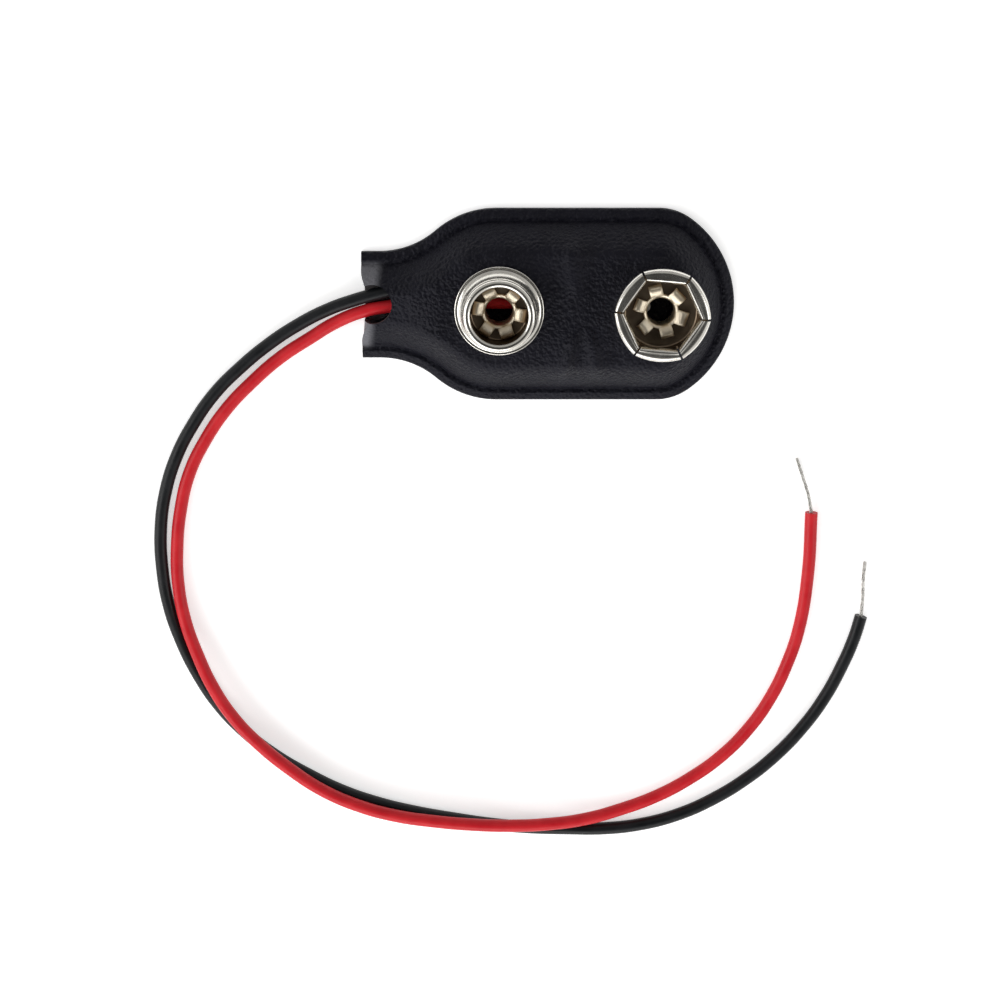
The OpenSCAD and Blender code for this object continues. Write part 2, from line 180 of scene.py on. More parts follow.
def lead(name, route, skin):
    """A round lead on one smooth line through its route, cut square at both ends."""
    curve = bpy.data.curves.new(name, "CURVE")
    curve.dimensions = "3D"
    curve.bevel_depth = LEAD_D / 2 * MM
    curve.bevel_resolution = 6
    curve.resolution_u = 10
    curve.use_fill_caps = True
    spline = curve.splines.new("BEZIER")
    spline.bezier_points.add(len(route) - 1)
    for knot, (x, y, rise) in zip(spline.bezier_points, route):
        knot.co = (x * MM, y * MM, (LEAD_D / 2 + rise) * MM)
        knot.handle_left_type = knot.handle_right_type = "AUTO"
    curve.materials.append(skin)
    piece = bpy.data.objects.new(name, curve)
    bpy.context.scene.collection.objects.link(piece)
    return piece


black_insulation = insulation("black_insulation", (0.004, 0.005, 0.006), (0.009, 0.010, 0.012))
red_insulation = insulation("red_insulation", (0.54, 0.010, 0.018), (0.64, 0.020, 0.028))
black_wire = lead("black_wire", BLACK_ROUTE, black_insulation)
red_wire = lead("red_wire", RED_ROUTE, red_insulation)
for wire, node, slot in ((black_wire, "black_lead", "black_insulation"), (red_wire, "red_lead", "red_insulation")):
    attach(wire, "root")
    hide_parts(node)


# Bare ends: seven tinned copper strands twisted together, about 0.3 mm over all.
# The far ends stick out of the insulation and taper down to the table; the near ends go into the solder joints.
STRAND_BUNDLE_D = 0.3
STRAND_PITCH = 2.6
# Far ends, as (x, y, share of the way down from the lead's axis to the table).
BLACK_TIP = [(26, -26.1, 0), (26.1, -24.6, 0.3), (26.1, -23, 0.65), (26.2, -21.5, 1)]
RED_TIP = [(21.6, -17.2, 0), (21.3, -15.7, 0.3), (20.8, -14.2, 0.65), (20.3, -12.7, 1)]
BARE_IN_JACKET = 1.0
STEPS_PER_SPAN = 10

tinned_copper = surface("tinned_copper", metallic=1.0)
tinned_tone = effect(tinned_copper, mottle, Cell_Size=0.35)
tinned_copper_dark, tinned_copper_light = (0.36, 0.35, 0.33), (0.72, 0.71, 0.68)
tinted(tinned_copper, tinned_tone.outputs["Tone"], tinned_copper_dark, tinned_copper_light)
polished(tinned_copper, tinned_tone.outputs["Tone"], 0.2, 0.38)
embossed(tinned_copper, tinned_tone.outputs["Height"], 0.004)


def smooth_line(points, steps):
    """Points on a smooth line through the given ones."""
    ends = [2 * points[0] - points[1], *points, 2 * points[-1] - points[-2]]
    line = []
    for a, b, c, d in zip(ends, ends[1:], ends[2:], ends[3:]):
        for i in range(steps):
            t = i / steps
            bend, twist = 2 * a - 5 * b + 4 * c - d, 3 * b - a - 3 * c + d
            line.append(0.5 * (2 * b + (c - a) * t + bend * t**2 + twist * t**3))
    return line + [points[-1]]


def twisted_strands(name, points):
    """Six strands wound round a seventh along a line."""
    curve = bpy.data.curves.new(name, "CURVE")
    curve.dimensions = "3D"
    curve.bevel_depth = STRAND_BUNDLE_D / 6 * MM
    curve.bevel_resolution = 2
    curve.use_fill_caps = True
    line = smooth_line([Vector(p) for p in points], STEPS_PER_SPAN)
    run = [0.0]
    for a, b in zip(line, line[1:]):
        run.append(run[-1] + (b - a).length)
    for strand in range(7):
        spline = curve.splines.new("POLY")
        spline.points.add(len(line) - 1)
        out = 0 if strand == 6 else STRAND_BUNDLE_D / 3
        for i, place in enumerate(line):
            ahead = (line[min(i + 1, len(line) - 1)] - line[max(i - 1, 0)]).normalized()
            side = ahead.cross(Vector((0, 0, 1))).normalized()
            turn = 2 * pi * (strand / 6 + run[i] / STRAND_PITCH)
            at = place + out * (cos(turn) * side + sin(turn) * side.cross(ahead))
            spline.points[i].co = (*(at * MM), 1)
    curve.materials.append(tinned_copper)
    piece = bpy.data.objects.new(name, curve)
    bpy.context.scene.collection.objects.link(piece)
    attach(piece, "root")
    return piece


def far_end(tip):
    """The bare end, sinking from the lead's axis to the table."""
    return [(x, y, (LEAD_D + (STRAND_BUNDLE_D - LEAD_D) * share) / 2) for x, y, share in tip]


def joint_end(route):
    """The short bare run between the insulation and the solder joint."""
    x, y, rise = route[0]
    return [(x + BARE_IN_JACKET * share, y, LEAD_D / 2 + rise) for share in (0, 0.5, 1)]


black_tip = twisted_strands("black_tip", far_end(BLACK_TIP))
red_tip = twisted_strands("red_tip", far_end(RED_TIP))
twisted_strands("black_joint_end", joint_end(BLACK_ROUTE))
twisted_strands("red_joint_end", joint_end(RED_ROUTE))
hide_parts("black_strands")
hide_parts("red_strands")


# Jacket: two layers of black grained vinyl, folded at the neck and welded together along a narrow rim.
# It pillows over the board inside and is pressed down round the contacts; a hole for the leads is punched through the
# upper layer at the fold, and the eyelets pass through two holes in its face.
JACKET_L, JACKET_W, NECK_W, NECK_RUN = 29.7, 15.5, 8.6, 1.4
THROAT_R, SHOULDER_R, CORNER_R = 6.9, 7.4, 4.4
END_R = JACKET_W / 2 + 0.75
FOLD_X, END_X = -JACKET_L / 2, JACKET_L / 2
FOLD_BOW, HEEL_SHARE = 0.25, 0.4
FOLD_HOLE_D, FOLD_HOLE_X, FOLD_HOLE_Y = 3.1, -13.95, 0.3
WELD_T, GROOVE_Z = 0.85, 0.735
FOLD_T, VINYL_Z, POCKET_Z = 2.15, 3.05, 2.6
SLOPE_IN, SLOPE_OUT, SLOPE_BEND = 0.98, 3.4, 1.5
POCKET_IN, POCKET_OUT = 1.25, 3.15
CREST_X = -8.45
STUD_X, SOCKET_X = -3.9, 8.8
BARREL_HOLE_R = 1.305
FOLD_PUNCH_Z, BARREL_PUNCH_Z, PUNCH_OVER = SHEET_T * 0.9, 1.5, 1

throat_x = FOLD_X + NECK_RUN
shoulder_turn = degrees(acos(1 - (JACKET_W - NECK_W) / 2 / (SHOULDER_R + THROAT_R)))
shoulder_x = throat_x + (SHOULDER_R + THROAT_R) * sin(radians(shoulder_turn))
corner_y = JACKET_W / 2 - CORNER_R
corner_turn = degrees(asin(corner_y / (END_R - CORNER_R)))
corner_x = END_X - END_R + (END_R - CORNER_R) * cos(radians(corner_turn))


def mix(a, b, w):
    return a + (b - a) * w


def ease(w):
    w = min(1, max(0, w))
    return w * w * (3 - 2 * w)


def arc(x, y, r, first, last, steps):
    """Points on an arc, angles in degrees."""
    turns = [radians(mix(first, last, i / steps)) for i in range(steps + 1)]
    return [(x + r * cos(a), y + r * sin(a)) for a in turns]


def half_outline(inset, pitch):
    """Half of the jacket's outline, set in, from the round end to the fold, with points about a pitch apart."""
    def steps(length):
        return ceil(length / pitch)

    end = arc(END_X - END_R, 0, END_R - inset, 0, corner_turn, steps(END_R * radians(corner_turn)))
    corner = arc(corner_x, corner_y, CORNER_R - inset, corner_turn, 90, steps(CORNER_R))
    shoulder_y = JACKET_W / 2 - SHOULDER_R
    shoulder = arc(shoulder_x, shoulder_y, SHOULDER_R - inset, 90, 90 + shoulder_turn, steps(SHOULDER_R))
    throat = arc(throat_x, NECK_W / 2 + THROAT_R, THROAT_R + inset, shoulder_turn - 90, -90, steps(THROAT_R))
    side_n = steps(corner_x - shoulder_x)
    side = [(mix(corner_x, shoulder_x, i / side_n), JACKET_W / 2 - inset) for i in range(1, side_n)]
    half_step = radians(corner_turn) / len(end) / 2
    first = (END_X - END_R + (END_R - inset) * cos(half_step), (END_R - inset) * sin(half_step))
    return [first, *end[1:], *corner[1:], *side, *shoulder, *throat[1:]]


def crown(x, low, high):
    """Height of the jacket's face: the fold's thickness at the neck, rising to the flat over the board."""
    return mix(low, high, ease((x - throat_x) / (CREST_X - throat_x)))


def nose_in(z, low, high, w):
    """How far the nose of the fold lies in from the fold line at height z: well rounded above, a tight heel below."""
    top_r = (high - low) / 2
    upper = z > low + top_r
    r = top_r if upper else HEEL_SHARE * top_r
    h = max(0, abs(z - low - top_r) - top_r + r) / r
    depth = r * (1 - sqrt(max(0, 1 - h * h)))
    return depth if upper else depth * w


# Soft creases of the face, as (x, y) of both ends, width and height: they fan out from between the contacts.
CREASES = [
    ((2.3, -1.0), (0.7, -6.7), 0.45, 0.34), ((3.1, -1.0), (4.2, -6.7), 0.5, 0.32),
    ((2.6, -1.6), (2.3, -6.4), 0.5, -0.08), ((4.6, -2.4), (6.6, -6.2), 0.8, -0.08),
    ((2.1, 0.8), (1.5, 6.2), 0.6, 0.26), ((3.2, 1.2), (4.4, 6.2), 0.8, -0.08),
    ((0.4, 1.6), (-1.4, 5.2), 0.8, -0.08), ((-8.6, 1.0), (-11.6, 2.2), 0.5, -0.07),
    ((-8.4, -1.2), (-11.8, -2.4), 0.5, -0.07), ((-9.0, 2.6), (-11.2, 3.3), 0.4, 0.06)]
CREASE_FADE_IN, CREASE_FADE_OUT = 0.3, 0.25
CREASE_NARROW, CREASE_WIDE = 0.6, 1.5
RIDGE_X, RIDGE_WIDTH, RIDGE_RISE = 2.2, 1.4, 0.12
PUFF, SAG, RIPPLE = 0.12, 0.3, 0.03
PRESSED_AT_STUD_R, PRESSED_AT_SOCKET_R, PRESSED_RUN = 3.5, 3.3, 2.2


def relief(x, y):
    """Rise of the slack vinyl: pressed down at the contacts, puffed between them, lower at the sides."""
    from_stud, from_socket = hypot(x - STUD_X, y), hypot(x - SOCKET_X, y)
    free = ease((from_stud - PRESSED_AT_STUD_R) / PRESSED_RUN)
    free *= ease((from_socket - PRESSED_AT_SOCKET_R) / PRESSED_RUN)
    ridge = RIDGE_RISE * exp(-(((x - RIDGE_X) / RIDGE_WIDTH) ** 2))
    rise = PUFF * free + ridge * free - SAG * (2 * y / JACKET_W) ** 2
    rise += RIPPLE * free * sin(1.1 * x + 0.7 * y) * sin(0.8 * y - 0.5 * x + 1)
    for (ax, ay), (bx, by), width, height in CREASES:
        length = hypot(bx - ax, by - ay)
        along = ((x - ax) * (bx - ax) + (y - ay) * (by - ay)) / length
        across = ((x - ax) * (by - ay) - (y - ay) * (bx - ax)) / length
        fade = ease(along / length / CREASE_FADE_IN) * ease((length - along) / length / CREASE_FADE_OUT)
        spread = width * mix(CREASE_NARROW, CREASE_WIDE, min(1, max(0, along / length)))
        rise += height * fade * free * exp(-((across / spread) ** 2))
    return rise


# Rings from the back to the face as (inset, height, share of the pillow's rise): weld rim, its lip, groove, slope.
SKIN_RINGS = [
    (1.1, 0, 0), (0.95, 0.04, 0), (0.85, 0.06, 0), (0.75, 0.03, 0), (0.6, 0, 0), (0.2, 0, 0), (0.06, 0.03, 0),
    (0, 0.12, 0), (0, 0.28, 0), (0, 0.42, 0), (0.02, 0.52, 0), (0.07, 0.6, 0), (0.16, 0.66, 0), (0.3, 0.72, 0),
    (0.45, 0.78, 0), (0.57, 0.83, 0), (0.63, WELD_T, 0), (0.69, 0.84, 0), (0.76, 0.81, 0), (0.83, 0.78, 0),
    (0.9, 0.75, 0), (0.94, GROOVE_Z, 0)]
SKIN_PITCH, POCKET_PITCH = 0.12, 0.4
SLOPE_STEPS, POCKET_STEPS = 16, 6


def slope_rings(first, last, foot_z, steps):
    """Rings up the pillow's slope, steep at its foot and level at its top."""
    runs = [i / steps for i in range(steps + 1)]
    return [(mix(first, last, run), foot_z, 1 - (1 - run) ** SLOPE_BEND) for run in runs]


SKIN_RINGS += slope_rings(SLOPE_IN, SLOPE_OUT, GROOVE_Z, SLOPE_STEPS)
POCKET_RINGS = slope_rings(POCKET_IN, POCKET_OUT, SHEET_T, POCKET_STEPS)
NOSE_BLEND = 0.3


def jacket_shell(mesh, rings, low, neck_top, face_top, pitch, rise):
    """Adds a closed skin through the rings: flat back, rounded nose at the fold, face crossed by level rows."""
    fold_n = ceil(NECK_W / pitch)
    shares = [1 - 2 * i / fold_n for i in range(fold_n + 1)]
    loops = []
    for k, (inset, height, share) in enumerate(rings):
        half = half_outline(inset, pitch)
        side = [(x, y, mix(height, crown(x, neck_top, face_top) + rise(x, y), share)) for x, y in half]
        neck_y = NECK_W / 2 - inset
        rim_z = mix(height, neck_top, share)
        nose_z = mix(low, neck_top, (1 - cos(pi * k / (len(rings) - 1))) / 2)
        fold = []
        for f in shares:
            w = ease((1 - abs(f)) / NOSE_BLEND)
            z = mix(rim_z, nose_z, w)
            fold.append((FOLD_X + low + FOLD_BOW * (1 - f * f) + nose_in(z, low, neck_top, w), f * neck_y, z))
        loop = side + fold + [(x, -y, mix(height, crown(x, neck_top, face_top) + rise(x, -y), share))
                              for x, y in reversed(half)]
        loops.append([mesh.verts.new(p) for p in loop])
    for below, above in zip(loops, loops[1:]):
        for i in range(len(below)):
            mesh.faces.new((below[i - 1], below[i], above[i], above[i - 1]))
    mesh.faces.new(reversed(loops[0]))
    last = loops[-1]
    count = len(half)
    rows = [last[count:count + fold_n + 1]]
    for i in range(count - 1, 0, -1):
        a, b = last[i], last[-1 - i]
        x = a.co.x
        row = [a]
        for f in shares[1:-1]:
            y = f * a.co.y
            row.append(mesh.verts.new((x, y, crown(x, neck_top, face_top) + rise(x, y))))
        rows.append(row + [b])
    for near, far in zip(rows, rows[1:]):
        for j in range(fold_n):
            mesh.faces.new((near[j], near[j + 1], far[j + 1], far[j]))
    mesh.faces.new([*rows[-1], last[-1], last[0]])


def piece_from(mesh, name, *materials, sharp=40):
    """Turns a mesh in millimetres into a smooth object of the part."""
    bmesh.ops.scale(mesh, vec=(MM, MM, MM), verts=mesh.verts)
    data = bpy.data.meshes.new(name)
    mesh.to_mesh(data)
    mesh.free()
    data.shade_smooth()
    data.set_sharp_from_angle(angle=radians(sharp))
    for material in materials:
        data.materials.append(material)
    piece = bpy.data.objects.new(name, data)
    bpy.context.scene.collection.objects.link(piece)
    return piece


# Effect "leather_grain": small rounded cells with fine pores, pressed into vinyl by the embossing roller.
leather_grain = bpy.data.node_groups.new("leather_grain", "ShaderNodeTree")
leather_grain.interface.new_socket("Cell Size", in_out="INPUT", socket_type="NodeSocketFloat").default_value = 0.3
leather_grain.interface.new_socket("Height", in_out="OUTPUT", socket_type="NodeSocketFloat")
grain_in = leather_grain.nodes.new("NodeGroupInput")
grain_out = leather_grain.nodes.new("NodeGroupOutput")
grain_place = leather_grain.nodes.new("ShaderNodeTexCoord")
grain_scale = leather_grain.nodes.new("ShaderNodeMath")
grain_scale.operation = "DIVIDE"
grain_scale.inputs[0].default_value = 1 / MM
grain_warp = leather_grain.nodes.new("ShaderNodeTexNoise")
grain_warp.inputs["Detail"].default_value = 2
grain_bend = leather_grain.nodes.new("ShaderNodeVectorMath")
grain_bend.operation = "MULTIPLY_ADD"
grain_bend.inputs[1].default_value = (0.25 * MM, 0.25 * MM, 0.25 * MM)
grain_cells = leather_grain.nodes.new("ShaderNodeTexVoronoi")
grain_cells.feature = "SMOOTH_F1"
grain_cells.inputs["Smoothness"].default_value = 0.6
grain_pores = leather_grain.nodes.new("ShaderNodeTexNoise")
grain_pores.inputs["Detail"].default_value = 6
grain_sum = leather_grain.nodes.new("ShaderNodeMath")
grain_sum.operation = "MULTIPLY_ADD"
grain_sum.inputs[1].default_value = -0.8
leather_grain.links.new(grain_in.outputs["Cell Size"], grain_scale.inputs[1])
leather_grain.links.new(grain_place.outputs["Object"], grain_warp.inputs["Vector"])
leather_grain.links.new(grain_scale.outputs[0], grain_warp.inputs["Scale"])
leather_grain.links.new(grain_warp.outputs["Color"], grain_bend.inputs[0])
leather_grain.links.new(grain_place.outputs["Object"], grain_bend.inputs[2])
leather_grain.links.new(grain_bend.outputs["Vector"], grain_cells.inputs["Vector"])
leather_grain.links.new(grain_scale.outputs[0], grain_cells.inputs["Scale"])
leather_grain.links.new(grain_place.outputs["Object"], grain_pores.inputs["Vector"])
leather_grain.links.new(grain_scale.outputs[0], grain_pores.inputs["Scale"])
leather_grain.links.new(grain_cells.outputs["Distance"], grain_sum.inputs[0])
leather_grain.links.new(grain_pores.outputs["Fac"], grain_sum.inputs[2])
leather_grain.links.new(grain_sum.outputs[0], grain_out.inputs["Height"])

# Effect "past_line": a soft-edged mask of what lies past a line across one way of the part, in millimetres.
past_line = bpy.data.node_groups.new("past_line", "ShaderNodeTree")
for label, value in (("Way", (1, 0, 0)), ("Start", 0.0), ("Full", 1.0)):
    socket_type = "NodeSocketVector" if label == "Way" else "NodeSocketFloat"
    past_line.interface.new_socket(label, in_out="INPUT", socket_type=socket_type).default_value = value
past_line.interface.new_socket("Mask", in_out="OUTPUT", socket_type="NodeSocketFloat")
past_in = past_line.nodes.new("NodeGroupInput")
past_out = past_line.nodes.new("NodeGroupOutput")
past_place = past_line.nodes.new("ShaderNodeTexCoord")
past_along = past_line.nodes.new("ShaderNodeVectorMath")
past_along.operation = "DOT_PRODUCT"
past_mm = past_line.nodes.new("ShaderNodeMath")
past_mm.operation = "DIVIDE"
past_mm.inputs[1].default_value = MM
past_span = past_line.nodes.new("ShaderNodeMapRange")
past_span.interpolation_type = "SMOOTHSTEP"
past_line.links.new(past_place.outputs["Object"], past_along.inputs[0])
past_line.links.new(past_in.outputs["Way"], past_along.inputs[1])
past_line.links.new(past_along.outputs["Value"], past_mm.inputs[0])
past_line.links.new(past_mm.outputs[0], past_span.inputs["Value"])
past_line.links.new(past_in.outputs["Start"], past_span.inputs["From Min"])
past_line.links.new(past_in.outputs["Full"], past_span.inputs["From Max"])
past_line.links.new(past_span.outputs["Result"], past_out.inputs["Mask"])

vinyl = surface("black_vinyl", sheen=0.17)
vinyl.node_tree.nodes["Principled BSDF"].inputs["Specular Tint"].default_value = (0.9, 0.9, 1, 1)
vinyl_tone = effect(vinyl, mottle, Cell_Size=2.2)
vinyl_black = tinted(vinyl, vinyl_tone.outputs["Tone"], (0.0035, 0.0035, 0.0065), (0.0065, 0.0065, 0.011))
# Lighter, bluish grey on the nose of the fold between the welds: a painted highlight where the fold's rounding
# catches the left lamp, with some stretch-whitening of the vinyl.
fold_highlight_and_whitening = effect(vinyl, past_line, Way=(-1, 0.13, 0), Start=13.35, Full=14.25).outputs["Mask"]
for side in (1, -1):
    inside_weld = effect(vinyl, past_line, Way=(0, side, 0), Start=3.7, Full=3.0)
    narrowed = vinyl.node_tree.nodes.new("ShaderNodeMath")
    narrowed.operation = "MULTIPLY"
    vinyl.node_tree.links.new(fold_highlight_and_whitening, narrowed.inputs[0])
    vinyl.node_tree.links.new(inside_weld.outputs["Mask"], narrowed.inputs[1])
    fold_highlight_and_whitening = narrowed.outputs[0]
# Mixes the painted fold highlight into the vinyl's base colour.
tinted(vinyl, fold_highlight_and_whitening, vinyl_black, (0.155, 0.155, 0.17))
polished(vinyl, vinyl_tone.outputs["Tone"], 0.38, 0.48)
vinyl_grain = effect(vinyl, leather_grain, Cell_Size=0.28)
embossed(vinyl, vinyl_grain.outputs["Height"], 0.12)
vinyl_cut = surface("vinyl_cut_edge")
cut_tone = effect(vinyl_cut, mottle, Cell_Size=0.5)
tinted(vinyl_cut, cut_tone.outputs["Tone"], (0.035, 0.032, 0.035), (0.10, 0.088, 0.09))
polished(vinyl_cut, cut_tone.outputs["Tone"], 0.5, 0.7)
embossed(vinyl_cut, cut_tone.outputs["Height"], 0.02)

jacket_mesh = bmesh.new()
jacket_shell(jacket_mesh, SKIN_RINGS, 0, FOLD_T, VINYL_Z, SKIN_PITCH, relief)
pocket_mesh = bmesh.new()
jacket_shell(pocket_mesh, POCKET_RINGS, SHEET_T, FOLD_T - SHEET_T, POCKET_Z, POCKET_PITCH, lambda x, y: 0)
bmesh.ops.recalc_face_normals(jacket_mesh, faces=jacket_mesh.faces)
bmesh.ops.recalc_face_normals(pocket_mesh, faces=pocket_mesh.faces)
jacket_solid = piece_from(jacket_mesh, "jacket_solid", vinyl)
pocket = piece_from(pocket_mesh, "jacket_pocket", vinyl)
punch_mesh = bmesh.new()
for x, y, r, low, high in ((FOLD_HOLE_X, FOLD_HOLE_Y, FOLD_HOLE_D / 2, FOLD_PUNCH_Z, FOLD_T + PUNCH_OVER),
                           (STUD_X, 0, BARREL_HOLE_R, BARREL_PUNCH_Z, VINYL_Z + PUNCH_OVER),
                           (SOCKET_X, 0, BARREL_HOLE_R, BARREL_PUNCH_Z, VINYL_Z + PUNCH_OVER)):
    made = bmesh.ops.create_cone(punch_mesh, cap_ends=True, segments=96, radius1=r, radius2=r, depth=high - low)
    bmesh.ops.translate(punch_mesh, verts=made["verts"], vec=(x, y, (low + high) / 2))
punch = piece_from(punch_mesh, "jacket_punch", vinyl_cut)
for tool in (pocket, punch):
    cut = jacket_solid.modifiers.new("cut", "BOOLEAN")
    cut.operation, cut.solver, cut.material_mode, cut.object = "DIFFERENCE", "EXACT", "TRANSFER", tool
jacket_data = bpy.data.meshes.new_from_object(jacket_solid.evaluated_get(bpy.context.evaluated_depsgraph_get()))
for tool in (jacket_solid, pocket, punch):
    bpy.data.objects.remove(tool)
jacket_data.set_sharp_from_angle(angle=radians(40))
jacket = bpy.data.objects.new("jacket", jacket_data)
bpy.context.scene.collection.objects.link(jacket)
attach(jacket, "root")
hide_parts("vinyl_jacket")


# Board: a stiff strip of brown pressed fibre inside the jacket, to which both contacts are riveted.
# It shows only as its solid does, so the solid stays and gets its fibres.
fibre = surface("fibre_board")
fibre_tone = effect(fibre, mottle, Cell_Size=0.8)
tinted(fibre, fibre_tone.outputs["Tone"], (0.11, 0.050, 0.018), (0.20, 0.095, 0.036))
polished(fibre, fibre_tone.outputs["Tone"], 0.65, 0.85)
embossed(fibre, fibre_tone.outputs["Height"], 0.03)
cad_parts["backing_board"].data.materials.clear()
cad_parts["backing_board"].data.materials.append(fibre)


# Solder joints: dull domes under the eyelets' flanges that hold the leads' near ends.
# They stay as the solids, with the grainy skin of cooled solder.
solder = surface("solder", metallic=1.0)
solder_tone = effect(solder, mottle, Cell_Size=0.3)
tinted(solder, solder_tone.outputs["Tone"], (0.38, 0.38, 0.38), (0.58, 0.58, 0.57))
polished(solder, solder_tone.outputs["Tone"], 0.3, 0.5)
embossed(solder, solder_tone.outputs["Height"], 0.02)
for node in ("stud_solder", "socket_solder"):
    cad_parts[node].data.materials.clear()
    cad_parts[node].data.materials.append(solder)


# Stud: the round contact, drawn from bright nickel-plated sheet in one piece.
# A flat flange on the vinyl, a cove and neck, a gripping head and a rim rolled inward round the open mouth.
STUD_FLANGE_R, STUD_HEAD_R, STUD_MOUTH_R = 3.55, 2.87, 2.34
STUD_H, METAL_T = 2.55, 0.28
LATHE_STEPS = 160


def lathe(mesh, profile, x, z, steps=LATHE_STEPS, inside=None):
    """Turns a closed profile of (radius, height) round an upright axis; past point inside, the second material."""
    loops = []
    for i in range(steps):
        a = 2 * pi * i / steps
        loops.append([mesh.verts.new((x + r * cos(a), r * sin(a), z + h)) for r, h in profile])
    for i in range(steps):
        for j in range(len(profile)):
            face = mesh.faces.new((loops[i - 1][j - 1], loops[i - 1][j], loops[i][j], loops[i][j - 1]))
            face.material_index = 1 if inside and j > inside else 0
    bmesh.ops.recalc_face_normals(mesh, faces=mesh.faces)


# Effect "handling_marks": hairline scratches and cloudy finger marks on plated metal.
handling_marks = bpy.data.node_groups.new("handling_marks", "ShaderNodeTree")
handling_marks.interface.new_socket("Cell Size", in_out="INPUT", socket_type="NodeSocketFloat").default_value = 1.0
handling_marks.interface.new_socket("Cloud", in_out="OUTPUT", socket_type="NodeSocketFloat")
handling_marks.interface.new_socket("Scratch", in_out="OUTPUT", socket_type="NodeSocketFloat")
marks_in = handling_marks.nodes.new("NodeGroupInput")
marks_out = handling_marks.nodes.new("NodeGroupOutput")
marks_place = handling_marks.nodes.new("ShaderNodeTexCoord")
marks_scale = handling_marks.nodes.new("ShaderNodeMath")
marks_scale.operation = "DIVIDE"
marks_scale.inputs[0].default_value = 1 / MM
marks_stretch = handling_marks.nodes.new("ShaderNodeMapping")
marks_stretch.inputs["Scale"].default_value = (12, 1.2, 4)
marks_stretch.inputs["Rotation"].default_value = (0.3, 0.2, 0.6)
marks_cloud = handling_marks.nodes.new("ShaderNodeTexNoise")
marks_cloud.inputs["Detail"].default_value = 4
marks_line = handling_marks.nodes.new("ShaderNodeTexNoise")
marks_line.inputs["Detail"].default_value = 3
handling_marks.links.new(marks_in.outputs["Cell Size"], marks_scale.inputs[1])
handling_marks.links.new(marks_place.outputs["Object"], marks_stretch.inputs["Vector"])
handling_marks.links.new(marks_place.outputs["Object"], marks_cloud.inputs["Vector"])
handling_marks.links.new(marks_stretch.outputs["Vector"], marks_line.inputs["Vector"])
for noise in (marks_cloud, marks_line):
    handling_marks.links.new(marks_scale.outputs[0], noise.inputs["Scale"])
handling_marks.links.new(marks_cloud.outputs["Fac"], marks_out.inputs["Cloud"])
handling_marks.links.new(marks_line.outputs["Fac"], marks_out.inputs["Scratch"])


def plated(name, dark, light, smooth, dull):
    """Nickel plate, with handling marks between two tones and two degrees of polish."""
    plate = surface(name, metallic=1.0)
    marks = effect(plate, handling_marks, Cell_Size=1.2)
    tinted(plate, marks.outputs["Cloud"], dark, light)
    polished(plate, marks.outputs["Cloud"], smooth, dull)
    embossed(plate, marks.outputs["Scratch"], 0.0015)
    return plate


nickel = plated("nickel_plate", (0.64, 0.615, 0.56), (0.86, 0.84, 0.79), 0.14, 0.30)
# Dark brown plate for the inner surfaces of the cups: painted shade of the deep cup, with some brown tarnish.
nickel_in_painted_shade = plated("shaded_tarnished_nickel", (0.11, 0.078, 0.05), (0.27, 0.21, 0.15), 0.22, 0.42)

stud_outside = [
    (BARREL_HOLE_R, 0), *arc(STUD_FLANGE_R - 0.12, 0.12, 0.12, -90, 80, 8), (3.38, 0.22), (3.3, 0.22), (3.2, 0.28),
    (3.08, 0.38), (2.95, 0.54), (2.84, 0.74), (2.76, 0.96), (2.71, 1.14), (2.73, 1.26), (STUD_HEAD_R - 0.04, 1.36),
    (STUD_HEAD_R, 1.46), (STUD_HEAD_R, 1.72), (STUD_HEAD_R - 0.05, 1.78), (STUD_HEAD_R - 0.03, 1.86),
    *arc(STUD_HEAD_R - 0.34, STUD_H - 0.32, 0.32, 10, 150, 14), (STUD_MOUTH_R - 0.02, STUD_H - 0.26)]
stud_inside = [
    (STUD_MOUTH_R, STUD_H - 0.36), (STUD_MOUTH_R + 0.04, 1.9), (STUD_MOUTH_R + 0.06, 1.68),
    (STUD_MOUTH_R + 0.06, 1.2), (STUD_MOUTH_R - 0.02, 0.7), *arc(STUD_MOUTH_R - 0.22, METAL_T + 0.2, 0.2, 0, -90, 6),
    (BARREL_HOLE_R, METAL_T)]
stud_mesh = bmesh.new()
# Faces past the rolled rim, down the inside to the floor, take the plate painted with the cup's shade.
lathe(stud_mesh, stud_outside + stud_inside, STUD_X, VINYL_Z, inside=len(stud_outside))
stud = piece_from(stud_mesh, "stud", nickel, nickel_in_painted_shade, sharp=50)
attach(stud, "root")
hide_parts("stud_contact")


# Socket: the hexagonal contact, a nickel-plated cup whose wall is slit into six springy leaves.
# Each leaf bows out and is rolled over at the top to a straight inner edge that grips the battery's stud.
SOCKET_TURN = -5
SLIT_W = 0.16
LEAF_T = 0.2
LEAF_STEPS = 24
# A leaf's outer line from the slit's foot over the top to the inner edge, as (radius, height, straightness in plan).
LEAF_LINE = [
    (3.14, 0.5, 0), (3.26, 0.82, 0.02), (3.4, 1.14, 0.06), (3.54, 1.46, 0.11), (3.64, 1.74, 0.16), (3.68, 1.92, 0.2),
    (3.675, 2.06, 0.23), (3.64, 2.18, 0.26), (3.58, 2.28, 0.3), (3.5, 2.35, 0.34), (3.41, 2.395, 0.38),
    (3.32, 2.415, 0.44), (3.22, 2.42, 0.5), (3.12, 2.418, 0.58), (3.02, 2.422, 0.67), (2.94, 2.437, 0.77),
    (2.86, 2.45, 0.86), (2.78, 2.44, 0.93), (2.7, 2.38, 0.98), (2.63, 2.27, 1), (2.59, 2.12, 1), (2.575, 1.9, 1),
    (2.6, 1.68, 1), (2.68, 1.5, 1)]


